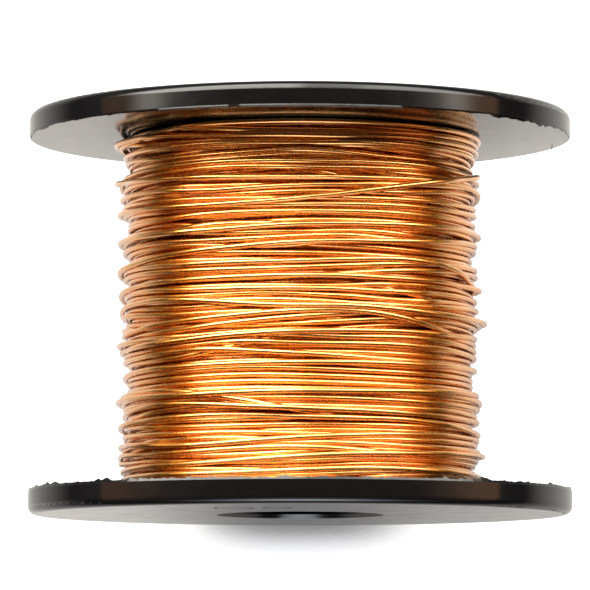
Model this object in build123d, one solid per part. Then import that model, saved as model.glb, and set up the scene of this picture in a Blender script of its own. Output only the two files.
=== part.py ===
"""A small wire spool: two moulded plastic flanges plugged into a barrel tube, wound full of
enamelled copper wire.

Millimetres. The spool lies on its two rims with its axis level. The origin is the centre of the
spindle bore, half-way between the flanges. +Y runs along the spindle axis, +Z is up.
The near flange is the one at -Y and the far flange the one at +Y.
"""

from build123d import *
import math
import os

# Driving dimensions of the spool.
FLANGE_DIA = 54.0
OVERALL_WIDTH = 40.0
FLANGE_THICKNESS = 2.4
BORE_DIA = 16.0
BARREL_DIA = 21.0

# Driving dimensions of the wire.
WIRE_DIA = 0.55
WINDING_DIA = 35.9
WINDING_CROWN = 0.2

# Edges of the flanges.
RIM_ROUND = 0.8
INNER_EDGE_BREAK = 0.12
BORE_CHAMFER = 0.4

# The plug-in joint between a flange and the barrel.
SPIGOT_DIA = 17.9
SPIGOT_LENGTH = 8.0
SPIGOT_LEAD_IN = 0.3
BARREL_BORE_DIA = 18.0
BEAD_HEIGHT = 0.15
BEAD_RADIUS = 0.4
BEAD_FROM_TIP = 1.6
GROOVE_CLEARANCE = 0.05
KEY_COUNT = 3
KEY_WIDTH = 2.0
KEY_LENGTH = 4.0
KEY_RADIUS = 9.65
KEY_CLEARANCE = 0.1
KEY_START_DEG = 30.0

# Two round witness lines that mould inserts leave on a flange's outer face.
WITNESS_LINES = [(-6.4, 16.0, 3.6), (-2.2, 16.4, 2.6)]
WITNESS_WIDTH = 0.3
WITNESS_DEPTH = 0.2

# The slot and groove that lead the wire's first end out through the far flange.
START_ANGLE_DEG = 140.0
START_RADIUS = 11.6
START_SLOT_WIDTH = 1.1
START_SLOT_LENGTH = 2.4
GROOVE_DEPTH = 0.8
GROOVE_END_RADIUS = 21.0
START_END_RADIUS = 19.6
START_BEND = 1.1

# The wire's last end, which lies on the winding beside the far flange.
FINISH_FROM_DEG = 254.0
FINISH_SWEEP_DEG = 46.0
FINISH_Y = 15.5
FINISH_SLANT = -0.5

CLEARANCE = 0.05

FLANGE_R = FLANGE_DIA / 2
BORE_R = BORE_DIA / 2
HALF_WIDTH = OVERALL_WIDTH / 2
INNER_FACE = HALF_WIDTH - FLANGE_THICKNESS
SPIGOT_R = SPIGOT_DIA / 2
BARREL_BORE_R = BARREL_BORE_DIA / 2
SPIGOT_TIP = INNER_FACE - SPIGOT_LENGTH
BEAD_Y = SPIGOT_TIP + BEAD_FROM_TIP


def spun(points):
    """The solid that a closed outline of (radius, y) points makes when it is spun about the spindle axis."""
    return revolve(make_face(Polyline(*points, close=True)), axis=Axis.Y)


def turned(shape, degrees):
    """The shape turned about the spindle axis."""
    return Rot(0, degrees, 0) * shape


def bead(height):
    """The half-round snap ring that stands out of the spigot, at +Y."""
    centre = SPIGOT_R + height - BEAD_RADIUS
    ring = Pos(centre, BEAD_Y) * Circle(BEAD_RADIUS)
    return revolve(ring, axis=Axis.Y)


def keys(width, outer_radius, length):
    """The anti-rotation keys round the spigot's root, or the keyways that take them, at +Y."""
    bars = []
    for k in range(KEY_COUNT):
        bar = Box(outer_radius - BORE_R - CLEARANCE, length, width)
        bar = Pos((outer_radius + BORE_R + CLEARANCE) / 2, INNER_FACE - length / 2, 0) * bar
        bars.append(turned(bar, KEY_START_DEG + k * 360 / KEY_COUNT))
    return Part() + bars


def flange_blank():
    """A flange at +Y with its spigot, snap bead and keys, before anything is cut in its outer face."""
    outline = [
        (BORE_R, SPIGOT_TIP),
        (SPIGOT_R - SPIGOT_LEAD_IN, SPIGOT_TIP),
        (SPIGOT_R, SPIGOT_TIP + SPIGOT_LEAD_IN),
        (SPIGOT_R, INNER_FACE),
        (FLANGE_R - INNER_EDGE_BREAK, INNER_FACE),
        (FLANGE_R, INNER_FACE + INNER_EDGE_BREAK),
        (FLANGE_R, HALF_WIDTH),
        (BORE_R + BORE_CHAMFER, HALF_WIDTH),
        (BORE_R, HALF_WIDTH - BORE_CHAMFER),
    ]
    body = spun(outline)
    rim = body.edges().filter_by(GeomType.CIRCLE).filter_by(
        lambda e: abs(e.radius - FLANGE_R) < 0.01 and abs(e.center().Y - HALF_WIDTH) < 0.01
    )
    body = fillet(rim, RIM_ROUND)
    return body + bead(BEAD_HEIGHT) + keys(KEY_WIDTH, KEY_RADIUS, KEY_LENGTH)


def witness_line(x, z, diameter):
    """A shallow round groove in the outer face at +Y."""
    ring = Circle(diameter / 2 + WITNESS_WIDTH / 2) - Circle(diameter / 2 - WITNESS_WIDTH / 2)
    face = Plane(origin=(x, HALF_WIDTH, z), x_dir=(1, 0, 0), z_dir=(0, 1, 0)) * ring
    return extrude(face, -WITNESS_DEPTH)


def witness_lines():
    return Part() + [witness_line(*line) for line in WITNESS_LINES]


def start_slot():
    """The slot through the far flange beside the barrel, and the groove for the bent-over wire."""
    slot = Box(START_SLOT_LENGTH, 3 * FLANGE_THICKNESS, START_SLOT_WIDTH)
    slot = Pos(START_RADIUS + START_SLOT_LENGTH / 4, INNER_FACE + FLANGE_THICKNESS / 2, 0) * slot
    length = GROOVE_END_RADIUS - START_RADIUS
    groove = Box(length, GROOVE_DEPTH, START_SLOT_WIDTH)
    groove = Pos(START_RADIUS + length / 2, HALF_WIDTH - GROOVE_DEPTH / 2, 0) * groove
    return turned(slot + groove, START_ANGLE_DEG)


def far_flange():
    return flange_blank() - witness_lines() - start_slot()


def near_flange():
    """The same moulding turned end for end, with no wire slot."""
    return mirror(flange_blank() - witness_lines(), about=Plane.XZ)


def barrel():
    """The tube that carries the winding, with a keyed and grooved socket in each end."""
    tube = spun([
        (BARREL_BORE_R, -INNER_FACE),
        (BARREL_DIA / 2, -INNER_FACE),
        (BARREL_DIA / 2, INNER_FACE),
        (BARREL_BORE_R, INNER_FACE),
    ])
    keyways = keys(KEY_WIDTH + 2 * KEY_CLEARANCE, KEY_RADIUS + KEY_CLEARANCE, KEY_LENGTH + KEY_CLEARANCE)
    socket = bead(BEAD_HEIGHT + GROOVE_CLEARANCE) + keyways
    return tube - socket - mirror(socket, about=Plane.XZ)


def winding():
    """The wound wire as one closed body: the space that all its turns fill, crowned in the middle."""
    end = INNER_FACE - CLEARANCE
    inner = BARREL_DIA / 2 + CLEARANCE
    outer = WINDING_DIA / 2
    crowned = ThreePointArc((outer - WINDING_CROWN, -end), (outer, 0), (outer - WINDING_CROWN, end))
    rest = Polyline((outer - WINDING_CROWN, end), (inner, end), (inner, -end), (outer - WINDING_CROWN, -end))
    return revolve(make_face(crowned + rest), axis=Axis.Y)


def wire_along(path):
    """Round wire swept along a path."""
    start = path.position_at(0)
    section = Plane(origin=start, z_dir=path.tangent_at(0)) * Circle(WIRE_DIA / 2)
    return sweep(section, path=path)


def wire_start_end():
    """The wire's first end: out through the slot, bent over, and laid in the groove."""
    lie = HALF_WIDTH - GROOVE_DEPTH + WIRE_DIA / 2 + CLEARANCE
    route = FilletPolyline(
        (START_RADIUS, INNER_FACE - CLEARANCE, 0),
        (START_RADIUS, lie, 0),
        (START_END_RADIUS, lie, 0),
        radius=START_BEND,
    )
    return turned(wire_along(route), START_ANGLE_DEG)


def wire_finish_end():
    """The wire's last end, lying on the winding on a slant."""
    radius = WINDING_DIA / 2 + WIRE_DIA / 2 + CLEARANCE
    points = []
    steps = 4
    for k in range(steps + 1):
        angle = math.radians(FINISH_FROM_DEG + FINISH_SWEEP_DEG * k / steps)
        y = FINISH_Y + FINISH_SLANT * k / steps
        points.append((radius * math.cos(angle), y, radius * math.sin(angle)))
    return wire_along(Spline(*points))


def main():
    os.makedirs("parts", exist_ok=True)
    parts = {
        "near_flange": near_flange(),
        "far_flange": far_flange(),
        "barrel": barrel(),
        "winding": winding(),
        "wire_start_end": wire_start_end(),
        "wire_finish_end": wire_finish_end(),
    }
    for name, shape in parts.items():
        export_step(shape, f"parts/{name}.step")


main()
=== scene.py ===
"""Looks of the wire spool: a coil of enamelled copper wire laid turn on turn, in a moulded black spool.

Lengths are in millimetres in the winding model and in metres in Blender. An angle round the spool is
measured from straight up (+Z) towards +X, which is also the way the wire runs on.
"""

import math

import bpy
import numpy as np
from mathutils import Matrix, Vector


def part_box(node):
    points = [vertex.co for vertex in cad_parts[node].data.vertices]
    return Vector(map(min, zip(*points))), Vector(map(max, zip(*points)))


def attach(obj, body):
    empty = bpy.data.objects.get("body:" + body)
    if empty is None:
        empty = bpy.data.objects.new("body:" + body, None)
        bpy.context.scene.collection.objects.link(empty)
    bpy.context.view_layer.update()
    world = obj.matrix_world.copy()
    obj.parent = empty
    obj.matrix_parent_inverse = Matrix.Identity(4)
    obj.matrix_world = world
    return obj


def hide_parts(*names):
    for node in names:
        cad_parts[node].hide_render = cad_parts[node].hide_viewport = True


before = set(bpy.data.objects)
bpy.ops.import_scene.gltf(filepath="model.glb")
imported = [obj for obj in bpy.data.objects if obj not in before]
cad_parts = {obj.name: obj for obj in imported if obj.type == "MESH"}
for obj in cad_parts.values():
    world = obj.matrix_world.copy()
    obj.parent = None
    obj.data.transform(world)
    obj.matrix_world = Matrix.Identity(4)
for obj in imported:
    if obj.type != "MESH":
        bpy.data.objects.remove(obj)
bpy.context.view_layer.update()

MM = 0.001
SEED = 11

# The spool's sizes, in millimetres, from the frame. The flanges' inner faces stand INNER_Y either side
# of its middle, with the winding a little short of them.
TRAVERSE_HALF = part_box("winding")[1].y / MM
FLANGE_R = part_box("far_flange")[1].x / MM
WINDING_CLEARANCE = 0.05
INNER_Y = TRAVERSE_HALF + WINDING_CLEARANCE

# The wire, and how the winder's guide sweeps it to and fro. PITCH is from one turn to the next. The
# centres of the first laid turns rest at CORE_R, and a layer stops END_GAP short of either end.
WIRE = 0.55
TURN_POINTS = 150
TUBE_SIDES = 8
PITCH = 0.57
FULL_PASSES = 5
CORE_R = 14.8
END_GAP = 0.02

# The guide's drift from an even sweep: (turns from one level to the next, millimetres).
WANDERS = [(2.7, 0.4), (0.5, 0.03)]

# How the wire behaves as it is laid, in millimetres. It trails the guide by GUIDE_LAG_DEG and moves
# along the spool by STEEPEST_STEP a point at most. It slides off a slope steeper than GRIP, found over
# NEAR_PROBE, and levels away from what is high within WIDE_PROBE, the open turns less than the others.
# Stiffness and tension reach so many points along it. The field of what is laid has FIELD_CELL cells.
GUIDE_LAG_DEG = 20.0
GRIP = 0.15
SLIDE = 1.5
LEVELLING = 1.2
OPEN_SLIDE = 0.5
OPEN_LEVELLING = 0
NEAR_PROBE = 0.15
WIDE_PROBE = 0.8
STEEPEST_STEP = 0.15
STIFFNESS_POINTS = 5
TENSION_REACH = 12
FIELD_CELL = 0.05
SMOOTHING_ROUNDS = 2

# How the wire is cut into pieces, and how much of its last turn is a tail that nothing holds down.
TURNS_PER_PIECE = 66
TAIL_DEG = 46
TAIL_SIDES = 16

# The body that stands for the turns beneath the laid ones: its inner wall, how many points draw the
# ridge of one turn, and how many segments go round it.
INNER_TURNS_R = 10.55
RIDGE_POINTS = 6
INNER_SEGMENTS = 96

# The moulding's torn flash round the flanges' inner edges, in millimetres: its least height, its drifts
# as (points from one level to the next, amount), and the burrs on it, with heights and half-widths in
# points between two limits.
FLASH_POINTS = 1440
FLASH_LEAST = 0.04
FLASH_DRIFTS = [(30, 0.05), (3, 0.05)]
BURRS = 50
BURR_HEIGHT = (0.05, 0.22)
BURR_WIDTH = (1.5, 6)

# The corners of the flash's section: (depth below the flange's edge, share of the height added to that,
# place from the flange's face toward the winding, share of the height added to that).
FLASH_SECTION = [
    (0.01, 0.0, -0.13, 0.0),
    (0.06, 0.2, 0.0, 1.0),
    (0.14, 0.2, -0.02, 1.0),
    (0.3, 0.0, -0.05, 0.0),
]

# The far flange's flash is (from, to, share of the torn height), in degrees round from straight up. It
# fades over FLASH_FADE_DEG at each end, and stands FLASH_LOW high elsewhere. A smooth lip, paler both
# for rubbing and as a painted highlight, runs on the arcs between.
FAR_FLASH = [(-90, -62, 0.9), (-62, -30, 0.35), (-14.5, -12.5, 0.8), (21, 42, 0.3), (42, 88, 1.2)]
FLASH_FADE_DEG = 3
FLASH_LOW = 0.01
LIP_ARCS = [(-30, -14.5), (-12.5, 21)]
LIP_RADIUS = 0.16
LIP_DEPTH = 0.06
LIP_OFF_FACE = 0.01
LIP_POINTS = 60
LIP_SIDES = 12

# The short bent thread of plastic at the far flange's edge: it starts THORN_DEPTH below the edge and
# THORN_ROOT into the flange, and ends THORN_HEIGHT off its face, THORN_RISE further out and THORN_BEND
# radians further round.
THORN_DEG = 108
THORN_HEIGHT = 0.5
THORN_RADIUS = 0.035
THORN_DEPTH = 0.08
THORN_ROOT = 0.05
THORN_RISE = 0.12
THORN_BEND = 0.006
THORN_POINTS = 12

# The sky. A light bank is long in X and leans toward +Y: (from and to, as a direction's X, how gradual
# those ends are, degrees of lean from and to, how gradual those are, strength). A soft light is round:
# (degrees from straight up, degrees round from +X toward +Y, spread in degrees, strength). The room
# beyond the paper is dim and even, but for a glow low down on either side, given as soft lights are.
LIGHT_BANKS = [
    (-0.92, 0.0, 0.06, 18.0, 74.0, 8.0, 9.5),
    (0.0, 0.38, 0.05, 18.0, 74.0, 8.0, 4.0),
    (0.38, 0.94, 0.05, 18.0, 74.0, 8.0, 6.0),
]
SOFT_LIGHTS = [
    (80.0, 129.0, 20.0, 0.5),
    (80.0, 50.0, 22.0, 0.4),
    (78.0, 270.0, 14.0, 6.0),
]
ROOM_LIGHT = 0.07
ROOM_GLOWS = [
    (84.0, 3.0, 14.0, 1.1),
    (84.0, 177.0, 14.0, 0.6),
]
BANK_COLOUR = (1, 0.97, 0.88, 1)
SOFT_COLOUR = (0.85, 0.92, 1, 1)
ROOM_COLOUR = (1, 0.5, 0.25, 1)

# The paper, in metres. It glows by PAPER_GLOW. For all but the camera it ends about PAPER_REACH from
# PAPER_MIDDLE, over PAPER_FADE either way. The camera sees all of it, brighter by PAPER_SHOWN.
PAPER_HALF = 1.5
PAPER_GLOW = 0.18
PAPER_MIDDLE = (10 * MM, 0, 0)
PAPER_REACH = 92 * MM
PAPER_FADE = 55 * MM
PAPER_SHOWN = 0.8

# The painted contact shadow: PAPER_SHOWN is dimmed where something stands within CONTACT_REACH. It is
# half itself where CONTACT_CLEAR of the sky is clear, and changes over CONTACT_FADE either way.
CONTACT_REACH = 6 * MM
CONTACT_CLEAR = 0.66
CONTACT_FADE = 0.17
CONTACT_SAMPLES = 16

# The camera looks down on the spool, from a little to the near flange's side. All in millimetres but
# the pitch.
CAMERA_LENS = 292.9
CAMERA_SENSOR = 36
CAMERA_PITCH_DEG = 5
CAMERA_AIM = (-0.5, 1.94, 0)
CAMERA_DISTANCE = 478.7
CAMERA_CLIP_END = 20000

# The last, open turns that cross the full layers, in the order they were wound. A turn is the places
# that it passes: (degrees round from straight up, millimetres along the spool).
OPEN_TURNS = [
    [(-79, -15.7), (-37, -15.6), (-16, -15.1), (2, -14.7), (14, -14.4), (45, -14.5), (79, -14.1)],
    [(-71, -11.0), (14, -10.9), (27, -11.3), (39, -11.5), (53, -12.2), (71, -12.7)],
    [(-77, -9.7), (-62, -9.0), (-48, -9.4), (-37, -10.0), (-28, -10.2), (2, -10.5), (71, -10.3)],
    [(-71, -8.6), (-2, -8.8), (16, -8.9), (28, -8.5), (39, -8.3), (50, -8.7), (62, -9.0), (77, -9.0)],
    [(-75, -6.1), (0, -6.0), (75, -5.8)],
    [(-75, -3.3), (0, -3.0), (75, -2.9)],
    [(-76, 0.7), (-46, 0.3), (-35, -0.3), (-28, -0.8), (2, -1.0), (71, -1.3)],
    [(-75, 2.2), (0, 2.4), (75, 2.3)],
    [(-74, 4.3), (-60, 4.9), (-47, 5.2), (-30, 5.1), (-13, 5.6), (2, 6.0), (24, 6.5), (71, 6.3)],
    [(-71, 6.8), (-53, 6.7), (-34, 6.9), (-26, 7.5), (-19, 7.6), (71, 7.4)],
    [(-79, 13.7), (-56, 13.1), (-35, 13.1), (0, 12.9), (75, 12.9), (180, 15.5)],
    [(-73, 17.5), (-33, 17.4), (0, 17.4), (33, 17.35), (71, 17.2), (180, 16.7)],
    [(-75, 16.7), (0, 16.6), (75, 16.5), (180, 15.8)],
    [(-75, 15.4), (0, 15.3), (75, 15.4), (180, 14.0)],
    [(-75, 12.0), (0, 11.8), (75, 11.5), (180, 10.5)],
    [
        (-76, 9.5), (-33, 9.2), (-9, 9.8), (0, 10.2), (19, 11.3),
        (39, 12.6), (77, 14.0), (150, 15.0), (196, 15.5),
    ],
]


# ---------------------------------------------------------------- the winding

def wander(rng, count, period, amount):
    """Smooth random drift along the wire, with a new random level once every period points."""
    levels = rng.normal(0, 1, int(count / period) + 3)
    at = np.arange(count) / period
    low = at.astype(int)
    mix = (1 - np.cos(math.pi * (at - low))) / 2
    return amount * (levels[low] * (1 - mix) + levels[low + 1] * mix)


def full_passes(rng):
    """Where along the spool the guide is while it fills whole layers, at each point of the wire."""
    limit = TRAVERSE_HALF - WIRE / 2 - END_GAP
    passes = []
    for k in range(FULL_PASSES):
        end = limit - (k % 2) * WIRE / 2
        sweep = np.linspace(-end, end, int(2 * end / PITCH * TURN_POINTS), endpoint=False)
        passes.append(sweep if k % 2 else -sweep)
    path = np.concatenate(passes)
    for turns, amount in WANDERS:
        path += wander(rng, len(path), turns * TURN_POINTS, amount)
    return np.clip(path, -limit, limit)


def open_turns(first, start_y):
    """The guide's places on through OPEN_TURNS, from wire point first, where it is at start_y. It has
    a quarter of a turn or more to reach the first of them."""
    places = [(first / TURN_POINTS * 360, start_y)]
    for turn, stops in enumerate(OPEN_TURNS, math.ceil(first / TURN_POINTS + 0.5)):
        places += [(turn * 360 + degrees, y) for degrees, y in stops]
    degrees, y = zip(*places)
    last = round(degrees[-1] / 360 * TURN_POINTS)
    return np.interp(np.arange(first, last) * 360 / TURN_POINTS, degrees, y)


class Winding:
    """Wire laid point by point on what is already there. For each angle round the spool and each
    place along it, field holds the least radius that the centre of a further turn can have there."""

    def __init__(self, core):
        cells = int(round(2 * INNER_Y / FIELD_CELL)) + 2
        self.field = np.full((TURN_POINTS, cells), core)
        self.limit = TRAVERSE_HALF - WIRE / 2
        self.led = []
        self.y = []
        self.touching = []
        self.r = []
        offsets = np.arange(-2 * STIFFNESS_POINTS, 2 * STIFFNESS_POINTS + 1)
        weights = np.exp(-0.5 * (offsets / STIFFNESS_POINTS) ** 2)
        self.bend_offsets = offsets
        self.bend_weights = weights / weights.sum()

    def rest_radius(self, step, y):
        """The field between its cells."""
        x = (y + INNER_Y) / FIELD_CELL
        cell = int(x)
        row = self.field[step % TURN_POINTS]
        return row[cell] + (row[cell + 1] - row[cell]) * (x - cell)

    def slope(self, step, y, probe):
        """How steeply the field rises toward +Y, over probe either way."""
        above = self.rest_radius(step, min(y + probe, self.limit))
        below = self.rest_radius(step, max(y - probe, -self.limit))
        return (above - below) / (2 * probe)

    def lead(self, target, lag, slide, levelling):
        """Follows the guide to the wire's next place, sliding off what is steep or high."""
        step = len(self.led)
        y = self.led[-1] if self.led else target
        steep = self.slope(step, y, NEAR_PROBE)
        fall = math.copysign(max(abs(steep) - GRIP, 0), steep)
        move = (target - y - slide * fall - levelling * self.slope(step, y, WIDE_PROBE)) / lag
        move = min(max(move, -STEEPEST_STEP), STEEPEST_STEP)
        self.led.append(min(max(y + move, -self.limit), self.limit))

    def bend(self, step):
        """Takes the sharp bends out of the led line, as the wire's own stiffness does."""
        near = np.clip(self.bend_offsets + step, 0, len(self.led) - 1)
        y = float(np.dot(self.bend_weights, [self.led[i] for i in near]))
        self.y.append(y)
        self.touching.append(self.rest_radius(step, y))

    def tighten(self, step):
        """Pulls the wire straight over what it touches nearby, and adds it to the field."""
        low = max(step - TENSION_REACH, 0)
        window = np.array(self.touching[low:step + TENSION_REACH + 1])
        away = np.abs(np.arange(low, low + len(window)) - step) * 2 * math.pi / TURN_POINTS
        base = window.min()
        lift = np.maximum(np.sqrt(2 * (window / base - 1)) - away, 0).max()
        radius = base * (1 + lift ** 2 / 2)
        self.r.append(radius)
        centre = (self.y[step] + INNER_Y) / FIELD_CELL
        span = int(WIRE / FIELD_CELL)
        row = self.field[step % TURN_POINTS]
        first = max(int(centre) - span, 0)
        last = min(int(centre) + span + 2, len(row))
        offset = (np.arange(first, last) - centre) * FIELD_CELL
        top = radius + np.sqrt(np.maximum(WIRE ** 2 - offset ** 2, 0))
        raised = np.maximum(row[first:last], top)
        row[first:last] = np.where(np.abs(offset) < WIRE, raised, row[first:last])

    def lay(self, path, slide=SLIDE, levelling=LEVELLING):
        """Lays wire along the guide's path. Bending and tightening wait for the points ahead."""
        lag = GUIDE_LAG_DEG / 360 * TURN_POINTS
        for target in path:
            self.lead(target, lag, slide, levelling)
            if len(self.led) > len(self.y) + 2 * STIFFNESS_POINTS:
                self.bend(len(self.y))
            if len(self.y) > len(self.r) + TENSION_REACH:
                self.tighten(len(self.r))

    def end(self):
        """Bends and tightens the points that lay was still waiting on."""
        while len(self.r) < len(self.led):
            if len(self.y) < len(self.led):
                self.bend(len(self.y))
            if len(self.y) > len(self.r) + TENSION_REACH or len(self.y) == len(self.led):
                self.tighten(len(self.r))


def smooth(values):
    """Evens out what is left of a rough line, all but its two ends."""
    values = np.array(values)
    for _ in range(SMOOTHING_ROUNDS):
        values[1:-1] = (values[:-2] + 2 * values[1:-1] + values[2:]) / 4
    return values


def new_object(name, data):
    piece = bpy.data.objects.new(name, data)
    bpy.context.scene.collection.objects.link(piece)
    return piece


def tube(name, centre, outward, sides=TUBE_SIDES, radius=WIRE / 2):
    """A closed tube along the points centre, in millimetres. outward is a direction at each point
    that isn't along the tube."""
    along = np.gradient(centre, axis=0)
    along /= np.linalg.norm(along, axis=1)[:, None]
    side = np.cross(along, outward)
    side /= np.linalg.norm(side, axis=1)[:, None]
    out = np.cross(side, along)
    turn = 2 * math.pi * np.arange(sides) / sides
    cosine, sine = np.cos(turn)[None, :, None], np.sin(turn)[None, :, None]
    section = cosine * out[:, None, :] + sine * side[:, None, :]
    points = (centre[:, None, :] + radius * section).reshape(-1, 3) * MM
    count = len(centre)
    i = np.arange(count - 1)[:, None] * sides
    a = np.arange(sides)[None, :]
    b = (a + 1) % sides
    quads = np.stack([i + a, i + b, i + sides + b, i + sides + a], axis=-1).reshape(-1, 4)
    start_cap = np.arange(sides)[::-1]
    end_cap = np.arange(sides) + (count - 1) * sides
    corners = np.concatenate([quads.ravel(), start_cap, end_cap])
    sizes = np.concatenate([np.full(len(quads), 4), [sides, sides]])
    starts = np.concatenate([[0], np.cumsum(sizes)[:-1]])
    mesh = bpy.data.meshes.new(name)
    mesh.vertices.add(len(points))
    mesh.vertices.foreach_set("co", points.ravel())
    mesh.loops.add(len(corners))
    mesh.loops.foreach_set("vertex_index", corners.astype(np.int32))
    mesh.polygons.add(len(sizes))
    mesh.polygons.foreach_set("loop_start", starts.astype(np.int32))
    mesh.polygons.foreach_set("loop_total", sizes.astype(np.int32))
    mesh.polygons.foreach_set("use_smooth", np.ones(len(sizes), bool))
    mesh.update(calc_edges=True)
    mesh.validate()
    return new_object(name, mesh)


def ring(name, radius, y):
    """A closed ring about the spool's axis. radius and y, in millimetres, have a row for each angle
    round the spool, from straight down, and a column for each corner of the ring's section."""
    count, corners = radius.shape
    angle = math.pi + 2 * math.pi * np.arange(count)[:, None] / count
    points = np.stack([radius * np.sin(angle), y, radius * np.cos(angle)], axis=-1)
    points = points.reshape(-1, 3) * MM
    i = np.arange(count)[:, None] * corners
    j = np.roll(i, -1, axis=0)
    a = np.arange(corners)[None, :]
    b = (a + 1) % corners
    quads = np.stack([i + a, i + b, j + b, j + a], axis=-1).reshape(-1, 4)
    mesh = bpy.data.meshes.new(name)
    mesh.from_pydata(points.tolist(), [], quads.tolist())
    mesh.validate()
    mesh.update()
    return new_object(name, mesh)


def outward_at(angle):
    """The direction out from the spool's axis at each angle, in radians."""
    return np.stack([np.sin(angle), np.zeros(len(angle)), np.cos(angle)], axis=1)


def coil_points(y, r, first):
    """Places in space of wire points, and the outward direction at each."""
    outward = outward_at(2 * math.pi * (np.arange(len(y)) + first) / TURN_POINTS)
    centre = outward * r[:, None]
    centre[:, 1] = y
    return centre, outward


# ---------------------------------------------------------------- materials

def new_material(name):
    material = bpy.data.materials.new(name)
    material.use_nodes = True
    nodes = material.node_tree.nodes
    return material, nodes, material.node_tree.links, nodes["Principled BSDF"]


def add_node(nodes, kind, **inputs):
    node = nodes.new(kind)
    for key, value in inputs.items():
        node.inputs[key].default_value = value
    return node


def math_node(nodes, links, operation, *values):
    """A Math node's result. A value is a number or another node's output."""
    node = nodes.new("ShaderNodeMath")
    node.operation = operation
    for socket, value in zip(node.inputs, values):
        if isinstance(value, float):
            socket.default_value = value
        else:
            links.new(value, socket)
    return node.outputs["Value"]


def step_node(nodes, links, value, middle, soft):
    """0 below middle and 1 above it, with a smooth change between."""
    node = nodes.new("ShaderNodeMapRange")
    node.interpolation_type = "SMOOTHSTEP"
    node.inputs["From Min"].default_value = middle - soft
    node.inputs["From Max"].default_value = middle + soft
    links.new(value, node.inputs["Value"])
    return node.outputs["Result"]


def noise_node(nodes, links, scale, detail=3.0, roughness=0.5, stretch=(1, 1, 1)):
    """Noise in the object's own coordinates, with scale in bumps per metre."""
    place = nodes.new("ShaderNodeTexCoord")
    mapping = nodes.new("ShaderNodeMapping")
    mapping.inputs["Scale"].default_value = stretch
    links.new(place.outputs["Object"], mapping.inputs["Vector"])
    noise = add_node(nodes, "ShaderNodeTexNoise", Scale=scale, Detail=detail, Roughness=roughness)
    links.new(mapping.outputs["Vector"], noise.inputs["Vector"])
    return noise.outputs["Fac"]


def ramp_node(nodes, links, source, stops):
    """Colours or greys by position: stops is a list of (position, colour)."""
    ramp = nodes.new("ShaderNodeValToRGB")
    elements = ramp.color_ramp.elements
    while len(elements) < len(stops):
        elements.new(0.5)
    for element, (position, colour) in zip(elements, stops):
        element.position = position
        element.color = colour
    links.new(source, ramp.inputs["Fac"])
    return ramp.outputs["Color"]


def grey(value):
    return (value, value, value, 1)


def bump_node(nodes, links, height, distance, strength):
    bump = nodes.new("ShaderNodeBump")
    bump.inputs["Distance"].default_value = distance
    bump.inputs["Strength"].default_value = strength
    links.new(height, bump.inputs["Height"])
    return bump.outputs["Normal"]


def copper_material():
    """Bright copper under a thick coat of clear enamel."""
    material, nodes, links, shader = new_material("enamelled_copper")
    shader.inputs["Metallic"].default_value = 1.0
    shader.inputs["Coat Weight"].default_value = 1.0
    shader.inputs["Coat Roughness"].default_value = 0.12
    shader.inputs["Coat IOR"].default_value = 2.2
    tone = noise_node(nodes, links, 260, detail=4.0, stretch=(1, 3, 1))
    deep, light = (0.94, 0.34, 0.01, 1), (0.98, 0.42, 0.018, 1)
    colour = ramp_node(nodes, links, tone, [(0.3, deep), (0.7, light)])
    links.new(colour, shader.inputs["Base Color"])
    rough = noise_node(nodes, links, 700, detail=2.0)
    rough = ramp_node(nodes, links, rough, [(0.3, grey(0.23)), (0.7, grey(0.3))])
    links.new(rough, shader.inputs["Roughness"])
    return material


def black_plastic(name, low_rough, high_rough):
    """Moulded black plastic, a little uneven, with a roughness between the two given."""
    material, nodes, links, shader = new_material(name)
    shader.inputs["IOR"].default_value = 1.5
    tone = noise_node(nodes, links, 90)
    deep, light = (0.0028, 0.0028, 0.0032, 1), (0.0045, 0.0045, 0.005, 1)
    colour = ramp_node(nodes, links, tone, [(0.3, deep), (0.7, light)])
    links.new(colour, shader.inputs["Base Color"])
    scuff = noise_node(nodes, links, 420, detail=8.0, roughness=0.65)
    rough = ramp_node(nodes, links, scuff, [(0.35, grey(low_rough)), (0.7, grey(high_rough))])
    links.new(rough, shader.inputs["Roughness"])
    sink = bump_node(nodes, links, noise_node(nodes, links, 150), 0.1 * MM, 0.1)
    links.new(sink, shader.inputs["Normal"])
    return material


def rubbed_and_highlit_plastic():
    """Black plastic rubbed pale on a moulding's edge, and paler still as a painted highlight along it.
    """
    material, nodes, links, shader = new_material("black_plastic_rubbed_and_painted_highlight")
    rub_and_highlight = noise_node(nodes, links, 900, detail=6.0, roughness=0.6)
    # The pale colour is partly rubbing and partly a painted highlight along the lip.
    colour = ramp_node(nodes, links, rub_and_highlight, [(0.35, grey(0.01)), (0.65, grey(0.03))])
    links.new(colour, shader.inputs["Base Color"])
    rough = ramp_node(nodes, links, rub_and_highlight, [(0.3, grey(0.2)), (0.7, grey(0.4))])
    links.new(rough, shader.inputs["Roughness"])
    return material


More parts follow.
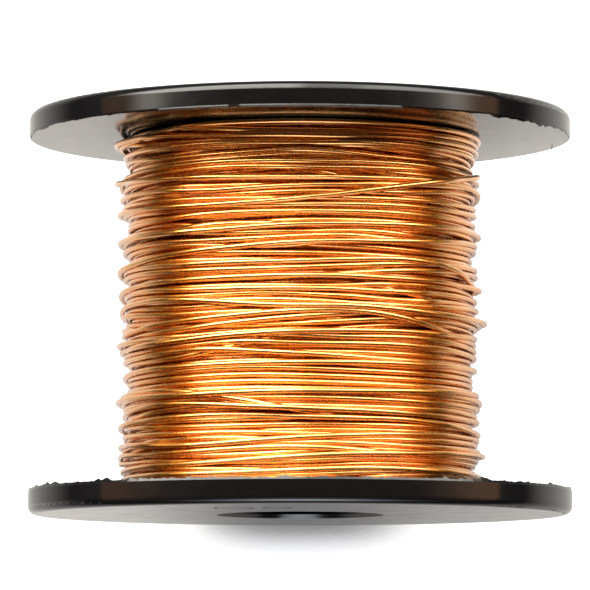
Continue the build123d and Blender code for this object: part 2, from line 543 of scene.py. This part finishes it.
def paper_material():
    """Paper that the camera sees overexposed, while the spool is lit only by what is near it."""
    material, nodes, links, shader = new_material("pale_floor")
    tone = noise_node(nodes, links, 400)
    tone = ramp_node(nodes, links, tone, [(0.3, grey(0.34)), (0.7, grey(0.36))])
    distance = nodes.new("ShaderNodeVectorMath")
    distance.operation = "DISTANCE"
    distance.inputs[1].default_value = PAPER_MIDDLE
    links.new(nodes.new("ShaderNodeTexCoord").outputs["Object"], distance.inputs[0])
    far = step_node(nodes, links, distance.outputs["Value"], PAPER_REACH, PAPER_FADE)
    near = math_node(nodes, links, "SUBTRACT", 1.0, far)
    seen = nodes.new("ShaderNodeLightPath").outputs["Is Camera Ray"]
    shown = math_node(nodes, links, "MAXIMUM", seen, near)
    links.new(math_node(nodes, links, "MULTIPLY", tone, shown), shader.inputs["Base Color"])
    shader.inputs["Roughness"].default_value = 0.85
    shader.inputs["Specular IOR Level"].default_value = 0.1
    shader.inputs["Emission Color"].default_value = (0.97, 0.985, 1, 1)
    # Painted contact shadow: the camera's extra glow is dimmed where ambient occlusion finds something
    # near.
    above = nodes.new("ShaderNodeAmbientOcclusion")
    above.samples = CONTACT_SAMPLES
    above.inputs["Distance"].default_value = CONTACT_REACH
    clear = step_node(nodes, links, above.outputs["AO"], CONTACT_CLEAR, CONTACT_FADE)
    glow = math_node(nodes, links, "MULTIPLY", near, PAPER_GLOW)
    extra = math_node(nodes, links, "MULTIPLY", seen, clear)
    glow = math_node(nodes, links, "MULTIPLY_ADD", extra, PAPER_SHOWN, glow)
    links.new(glow, shader.inputs["Emission Strength"])
    return material


# ---------------------------------------------------------------- pieces

def finish_piece(piece, material):
    """Gives a piece its material and body."""
    piece.data.materials.clear()
    piece.data.materials.append(material)
    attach(piece, "root")


def make_winding(material):
    """The laid wire, as lengths that each replace a share of the CAD winding, and its tail."""
    rng = np.random.default_rng(SEED)
    path = full_passes(rng)
    winding = Winding(CORE_R)
    winding.lay(path)
    winding.lay(open_turns(len(path), path[-1]), slide=OPEN_SLIDE, levelling=OPEN_LEVELLING)
    winding.end()
    y = smooth(winding.y)
    r = smooth(winding.r)
    whole = len(y) - round(TAIL_DEG / 360 * TURN_POINTS)
    per_piece = TURNS_PER_PIECE * TURN_POINTS
    for k, first in enumerate(range(0, whole, per_piece)):
        last = min(first + per_piece, whole)
        centre, outward = coil_points(y[first:last + 1], r[first:last + 1], first)
        piece = tube(f"wire_turns_{k + 1}", centre, outward)
        finish_piece(piece, material)
        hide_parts("winding")
    centre, outward = coil_points(y[whole:], r[whole:], whole)
    tail = tube("wire_tail", centre, outward, sides=TAIL_SIDES)
    finish_piece(tail, material)
    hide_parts("wire_finish_end")


def make_inner_turns(material):
    """What the laid turns lie on: the turns beneath them as one body with a ridge for each."""
    ridge = np.linspace(0, math.pi, RIDGE_POINTS, endpoint=False)
    turns = int(2 * (INNER_Y - END_GAP) / PITCH)
    start = -turns * PITCH / 2
    radius = np.tile(CORE_R - WIRE + WIRE / 2 * np.sin(ridge), turns)
    y = np.concatenate([start + PITCH * (k + (1 - np.cos(ridge)) / 2) for k in range(turns)])
    radius = np.concatenate([[INNER_TURNS_R], radius, [CORE_R - WIRE, INNER_TURNS_R]])
    y = np.concatenate([[start], y, [-start, -start]])
    all_round = (INNER_SEGMENTS, 1)
    piece = ring("inner_turns", np.tile(radius, all_round), np.tile(y, all_round))
    finish_piece(piece, material)
    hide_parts("winding")


def ragged(rng, count):
    """Heights of a moulding's torn flash at each angle, in millimetres."""
    height = np.full(count, FLASH_LEAST)
    for points, amount in FLASH_DRIFTS:
        height += np.abs(wander(rng, count, points, amount))
    at = np.arange(count)
    for centre in rng.uniform(0, count, BURRS):
        height += rng.uniform(*BURR_HEIGHT) * np.exp(-((at - centre) / rng.uniform(*BURR_WIDTH)) ** 2)
    return height


def make_flash(name, material, face_y, inward, height):
    """The thin fin that the mould left round a flange's rim, on the side of the winding. inward is
    the way from the flange to the winding along Y."""
    depth, more_depth, out, more_out = np.array(FLASH_SECTION).T
    height = height[:, None]
    radius = FLANGE_R - depth - more_depth * height
    y = face_y + inward * (out + more_out * height)
    piece = ring(name, radius, y)
    finish_piece(piece, material)


def make_lip(name, material, start, end):
    """A smooth bead along the far flange's inner edge, between two angles."""
    outward = outward_at(np.radians(np.linspace(start, end, LIP_POINTS)))
    centre = outward * (FLANGE_R - LIP_DEPTH)
    centre[:, 1] = INNER_Y + LIP_OFF_FACE
    piece = tube(name, centre, outward, sides=LIP_SIDES, radius=LIP_RADIUS)
    finish_piece(piece, material)


def make_thorn(material):
    """The short bent thread of plastic that stands off the far flange's edge."""
    along = np.linspace(0, 1, THORN_POINTS)
    outward = outward_at(math.radians(THORN_DEG) + THORN_BEND * along ** 2)
    centre = outward * (FLANGE_R - THORN_DEPTH + THORN_RISE * along)[:, None]
    centre[:, 1] = INNER_Y + THORN_ROOT - (THORN_HEIGHT + THORN_ROOT) * along
    piece = tube("far_flange_thorn", centre, outward, radius=THORN_RADIUS)
    finish_piece(piece, material)


def make_flashes(material, rub_and_highlight_material):
    rng = np.random.default_rng(SEED + 1)
    degrees = np.arange(FLASH_POINTS) * 360 / FLASH_POINTS - 180
    near = ragged(rng, FLASH_POINTS)
    torn = ragged(rng, FLASH_POINTS)
    far = np.full(FLASH_POINTS, FLASH_LOW)
    for start, end, share in FAR_FLASH:
        inside = np.clip(np.minimum(degrees - start, end - degrees) / FLASH_FADE_DEG, 0, 1)
        far += share * inside * torn
    make_flash("near_flange_flash", material, -INNER_Y, 1, near)
    make_flash("far_flange_flash", material, INNER_Y, -1, far)
    make_thorn(material)
    for k, (start, end) in enumerate(LIP_ARCS):
        make_lip(f"far_flange_lip_{k + 1}", rub_and_highlight_material, start, end)


# ---------------------------------------------------------------- stage

def make_stage():
    mesh = bpy.data.meshes.new("floor")
    half, z = PAPER_HALF, -FLANGE_R * MM
    corners = [(-half, -half, z), (half, -half, z), (half, half, z), (-half, half, z)]
    mesh.from_pydata(corners, [], [(0, 1, 2, 3)])
    floor = new_object("floor", mesh)
    floor.data.materials.append(paper_material())


def light_bank(nodes, links, direction, start, end, soft, low, high, soft_lean, strength):
    """What a light bank adds in each direction."""
    part = nodes.new("ShaderNodeSeparateXYZ")
    links.new(direction, part.inputs[0])
    x, y, z = part.outputs
    lean = math_node(nodes, links, "ARCTAN2", y, z)
    low, high, soft_lean = math.radians(low), math.radians(high), math.radians(soft_lean)
    total = strength
    for value, middle, softness in ((x, start, soft), (lean, low, soft_lean)):
        inside = step_node(nodes, links, value, middle, softness)
        total = math_node(nodes, links, "MULTIPLY", inside, total)
    for value, middle, softness in ((x, end, soft), (lean, high, soft_lean)):
        outside = step_node(nodes, links, value, middle, softness)
        inside = math_node(nodes, links, "SUBTRACT", 1.0, outside)
        total = math_node(nodes, links, "MULTIPLY", inside, total)
    return total


def soft_light(nodes, links, direction, tilt, azimuth, spread, strength):
    """What a soft light adds in each direction: strength at its middle, falling smoothly away."""
    tilt, azimuth = math.radians(tilt), math.radians(azimuth)
    middle = nodes.new("ShaderNodeVectorMath")
    middle.operation = "DOT_PRODUCT"
    middle.inputs[1].default_value = (
        math.sin(tilt) * math.cos(azimuth),
        math.sin(tilt) * math.sin(azimuth),
        math.cos(tilt),
    )
    links.new(direction, middle.inputs[0])
    narrow = 1 / math.radians(spread) ** 2
    fall = math_node(nodes, links, "MULTIPLY_ADD", middle.outputs["Value"], narrow, -narrow)
    return math_node(nodes, links, "MULTIPLY", math_node(nodes, links, "EXPONENT", fall), strength)


def sum_node(nodes, links, values):
    """The sum of two or more numbers or outputs."""
    total = values[0]
    for value in values[1:]:
        total = math_node(nodes, links, "ADD", total, value)
    return total


def background(nodes, links, strength, colour):
    node = add_node(nodes, "ShaderNodeBackground", Color=colour)
    links.new(strength, node.inputs["Strength"])
    return node.outputs["Background"]


def add_shaders(nodes, links, first, second):
    node = nodes.new("ShaderNodeAddShader")
    links.new(first, node.inputs[0])
    links.new(second, node.inputs[1])
    return node.outputs["Shader"]


def make_world():
    """The studio lights everything but the camera's own rays, which see plain white past the floor."""
    world = bpy.data.worlds.new("studio")
    world.use_nodes = True
    bpy.context.scene.world = world
    nodes, links = world.node_tree.nodes, world.node_tree.links
    direction = nodes.new("ShaderNodeTexCoord").outputs["Generated"]
    banks = [light_bank(nodes, links, direction, *bank) for bank in LIGHT_BANKS]
    soft = [soft_light(nodes, links, direction, *light) for light in SOFT_LIGHTS]
    room = [ROOM_LIGHT] + [soft_light(nodes, links, direction, *light) for light in ROOM_GLOWS]
    banks = background(nodes, links, sum_node(nodes, links, banks), BANK_COLOUR)
    soft = background(nodes, links, sum_node(nodes, links, soft), SOFT_COLOUR)
    room = background(nodes, links, sum_node(nodes, links, room), ROOM_COLOUR)
    lit = add_shaders(nodes, links, add_shaders(nodes, links, banks, soft), room)
    shown = nodes["Background"]
    shown.inputs["Color"].default_value = grey(1)
    ray = nodes.new("ShaderNodeLightPath")
    mix = nodes.new("ShaderNodeMixShader")
    links.new(ray.outputs["Is Camera Ray"], mix.inputs["Fac"])
    links.new(lit, mix.inputs[1])
    links.new(shown.outputs["Background"], mix.inputs[2])
    links.new(mix.outputs["Shader"], nodes["World Output"].inputs["Surface"])
    bpy.context.scene.view_settings.view_transform = "Standard"


def make_camera():
    data = bpy.data.cameras.new("camera")
    data.sensor_width = CAMERA_SENSOR
    data.lens = CAMERA_LENS
    data.clip_end = CAMERA_CLIP_END * MM
    camera = new_object("camera", data)
    pitch = math.radians(CAMERA_PITCH_DEG)
    aim = Vector(CAMERA_AIM) * MM
    toward = Vector((0, -math.sin(pitch), math.cos(pitch)))
    camera.location = aim + toward * CAMERA_DISTANCE * MM
    camera.rotation_euler = (pitch, 0, 0)
    bpy.context.scene.camera = camera


def main():
    make_camera()
    make_world()
    make_stage()
    copper = copper_material()
    glossy = black_plastic("black_gloss_plastic", low_rough=0.07, high_rough=0.14)
    satin = black_plastic("black_satin_plastic", low_rough=0.4, high_rough=0.55)
    for name in ("near_flange", "far_flange"):
        finish_piece(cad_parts[name], glossy)
    finish_piece(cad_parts["barrel"], satin)
    finish_piece(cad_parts["wire_start_end"], copper)
    make_inner_turns(copper)
    make_winding(copper)
    make_flashes(glossy, rubbed_and_highlit_plastic())


main()
